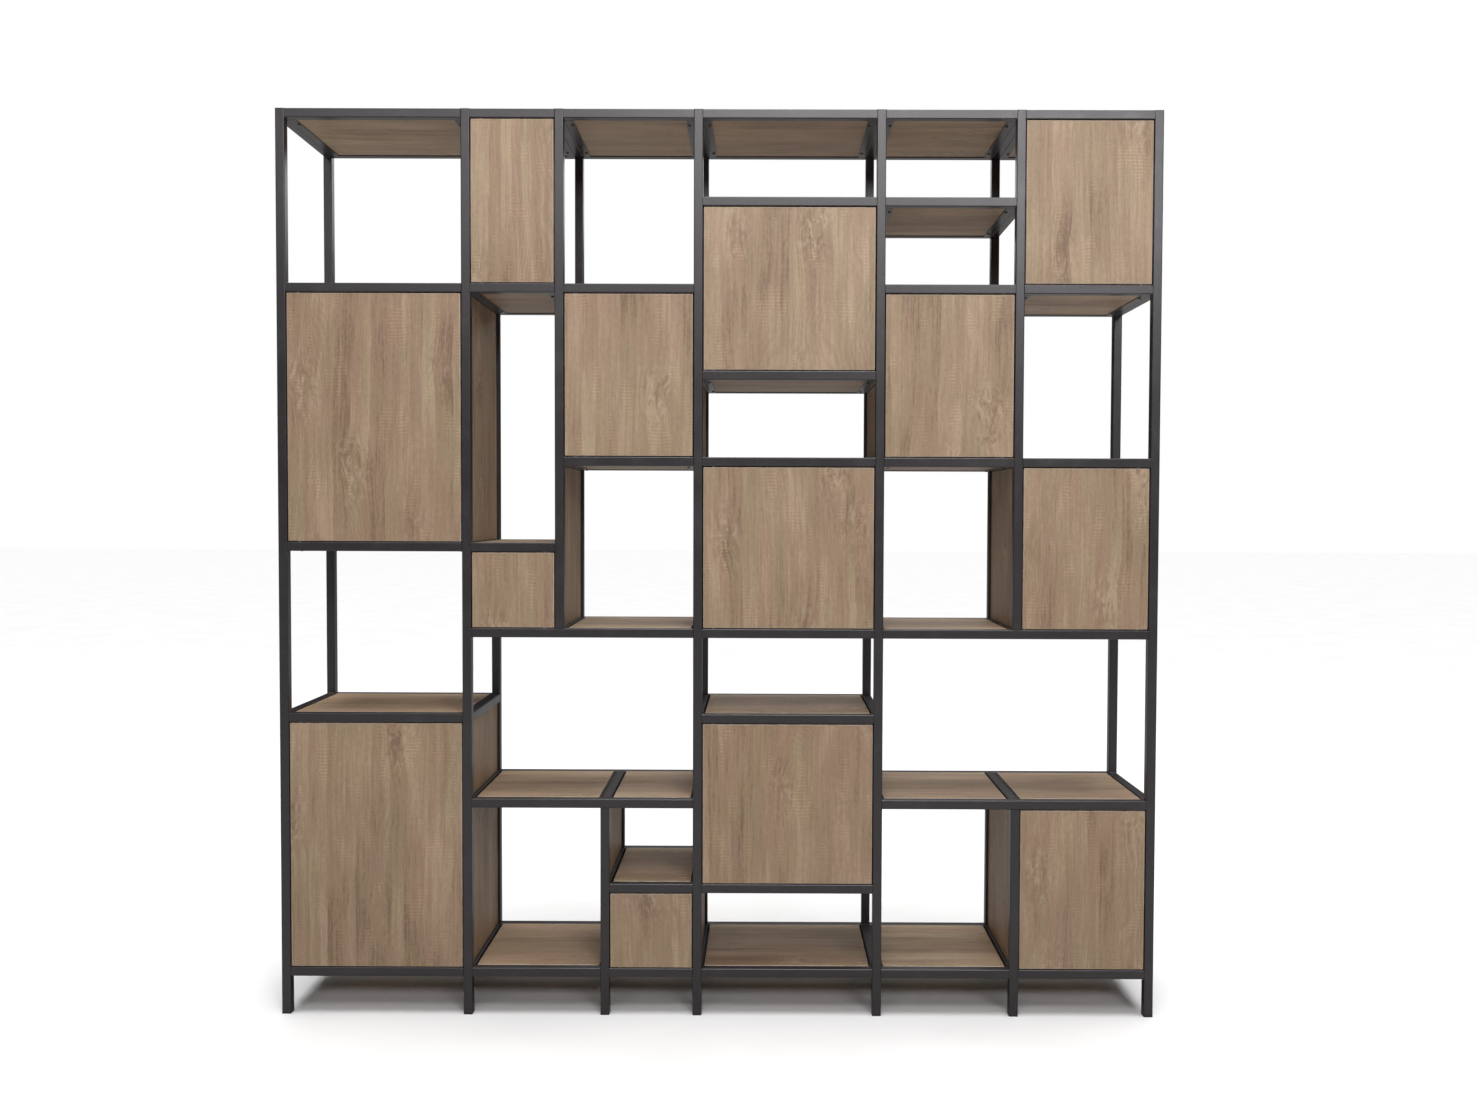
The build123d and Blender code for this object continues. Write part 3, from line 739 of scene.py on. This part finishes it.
def latch_pin(name):
    """A sprung latch pin: a smooth turned shaft with a rounded soft tip."""
    low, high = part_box(name)
    radius = (high.x - low.x) / 2
    length = high.y - low.y
    tip_length = 2.5 * MM
    start = Vector(((low.x + high.x) / 2, low.y, (low.z + high.z) / 2))
    tip = [(0, 0.45 * radius), (0.15 * MM, 0.72 * radius), (0.5 * MM, 0.9 * radius),
           (1.1 * MM, 0.96 * radius), (tip_length, 0.96 * radius)]
    shaft = [(tip_length, radius), (length - 0.6 * MM, radius), (length, 0.8 * radius)]
    mesh = bmesh.new()
    add_turned(mesh, start, (0, 1, 0), tip + shaft)
    for face in mesh.faces:
        if face.calc_center_median().y < low.y + tip_length - 0.1 * MM:
            face.material_index = 1
    finish_piece(f"{name}_pin", mesh, [GREY, BLACK], name, [name])


def door_hardware(door, name):
    """A door's two pivot bushes and its strike plate."""
    bore = 3.05 * MM
    mouth = bore + 0.3 * MM
    mouth_depth = 0.3 * MM
    chamfer = 0.4 * MM
    dimple_rim = 4.6 * MM
    dimple_flat = 4.2 * MM
    mesh = bmesh.new()
    for points in islands(name):
        low, high = box_of(points)
        middle = (low + high) / 2
        if high.z - low.z > high.x - low.x:
            radius = (high.x - low.x) / 2
            length = high.z - low.z
            outside = [(0, mouth), (0, radius - chamfer), (chamfer, radius), (length - chamfer, radius),
                       (length, radius - chamfer)]
            inside = [(length, mouth), (length - mouth_depth, bore), (mouth_depth, bore)]
            add_turned_ring(mesh, (middle.x, middle.y, low.z), (0, 0, 1), outside + inside)
        else:
            plate = bmesh.new()
            add_box(plate, low, high, 0.45 * MM)
            dimple = bmesh.new()
            add_turned(dimple, (middle.x, high.y + 0.5 * MM, middle.z), (0, -1, 0),
                       [(0, dimple_rim), (0.5 * MM, dimple_rim), (0.8 * MM, dimple_flat)])
            add_copy(mesh, cut(plate, [dimple]))
    bmesh.ops.recalc_face_normals(mesh, faces=mesh.faces)
    finish_piece(f"{name}_turned", mesh, [PLATED], door, [name])


tube_plugs("post_caps", CAP_PLATE, 1)
tube_plugs("feet", FOOT_PLATE, -1)
screws("wood_screws", chance)
latch_housings()
for door in doors:
    cell = door.removeprefix("door_")
    latch_pin(f"latch_plunger_{cell}")
    door_hardware(door, f"door_fittings_{cell}")


# ---------------------------------------------------------------- stage, light and camera
FLOOR_REACH = 30.0
FLOOR_LIGHT_POWER = 3.4
FLOOR_LIGHT_SPREAD = math.radians(40)
WORLD_SEEN = 1.0
WORLD_AMBIENT = 0.03

# Area lights: place, target, width and height, power in watts, and colour.
AREA_LIGHTS = {
    "key": ((0.3, -2.3, 3.4), (0.2, 0.0, 1.6), (1.4, 0.9), 33, (1.0, 0.985, 0.965)),
    "wash": ((-0.2, -5.3, 3.5), (0.0, 0.0, 1.6), (6.0, 1.0), 72, (0.98, 0.97, 1.0)),
    "glint": ((2.4, -5.3, 3.4), (0.9, 0.0, 1.8), (1.6, 1.0), 42, (0.98, 0.97, 1.0)),
    "back": ((0.6, 4.2, 3.5), (0.0, 0.0, 0.9), (3.5, 1.6), 34, (1.0, 1.0, 1.0)),
}

CAMERA_PLACE = (0.0961, -2.7037, 1.1239)
CAMERA_YAW = math.radians(0.114)
CAMERA_PITCH = math.radians(1.597)
CAMERA_ROLL = math.radians(0.192)
CAMERA_FOCAL_SHARE = 1160 / 1477
CAMERA_SHIFT = (-0.0142, -0.0072)
SENSOR_WIDTH = 36.0


def stage_floor():
    """A large pale floor under the unit."""
    mesh = bmesh.new()
    bmesh.ops.create_grid(mesh, x_segments=1, y_segments=1, size=FLOOR_REACH)
    data = bpy.data.meshes.new("floor")
    mesh.to_mesh(data)
    mesh.free()
    data.materials.append(pale_floor())
    new_object("floor", data)


def area_light(name, place, target, size, power, colour):
    """A soft rectangular light that faces target, and isn't seen itself."""
    data = bpy.data.lights.new(name, "AREA")
    data.shape = "RECTANGLE"
    data.size, data.size_y = size
    data.energy = power
    data.color = colour
    light = new_object(name, data)
    light.location = place
    light.rotation_euler = (Vector(target) - Vector(place)).to_track_quat("-Z", "Y").to_euler()
    light.visible_camera = False


def floor_light():
    """An even light from straight above, which keeps the floor pale out to the horizon."""
    data = bpy.data.lights.new("floor_light", "SUN")
    data.energy = FLOOR_LIGHT_POWER
    data.angle = FLOOR_LIGHT_SPREAD
    new_object("floor_light", data)


def studio_world():
    """A white surround behind the unit, which lights it only a little."""
    world = bpy.data.worlds.new("studio")
    world.use_nodes = True
    tree = world.node_tree
    behind = tree.nodes["Background"]
    behind.inputs[0].default_value = (1, 1, 1, 1)
    behind.inputs[1].default_value = WORLD_SEEN
    fill = node(tree, "ShaderNodeBackground", {0: (0.95, 0.97, 1.0, 1), 1: WORLD_AMBIENT})
    path = node(tree, "ShaderNodeLightPath", {})
    mixed_inputs = {0: path.outputs["Is Camera Ray"], 1: fill.outputs[0], 2: behind.outputs[0]}
    mixed = node(tree, "ShaderNodeMixShader", mixed_inputs)
    tree.links.new(mixed.outputs[0], tree.nodes["World Output"].inputs[0])
    bpy.context.scene.world = world


def front_camera():
    """The camera: near the unit's middle, at chest height, turned and tipped by a degree or two."""
    data = bpy.data.cameras.new("camera")
    data.sensor_width = SENSOR_WIDTH
    data.lens = SENSOR_WIDTH * CAMERA_FOCAL_SHARE
    data.shift_x, data.shift_y = CAMERA_SHIFT
    camera = new_object("camera", data)
    turned = Matrix.Rotation(CAMERA_YAW, 4, "Z") @ Matrix.Rotation(math.pi / 2 - CAMERA_PITCH, 4, "X")
    camera.matrix_world = Matrix.Translation(CAMERA_PLACE) @ turned @ Matrix.Rotation(CAMERA_ROLL, 4, "Z")
    bpy.context.scene.camera = camera


stage_floor()
for name, settings in AREA_LIGHTS.items():
    area_light(name, *settings)
floor_light()
studio_world()
front_camera()
bpy.context.scene.view_settings.view_transform = "Standard"
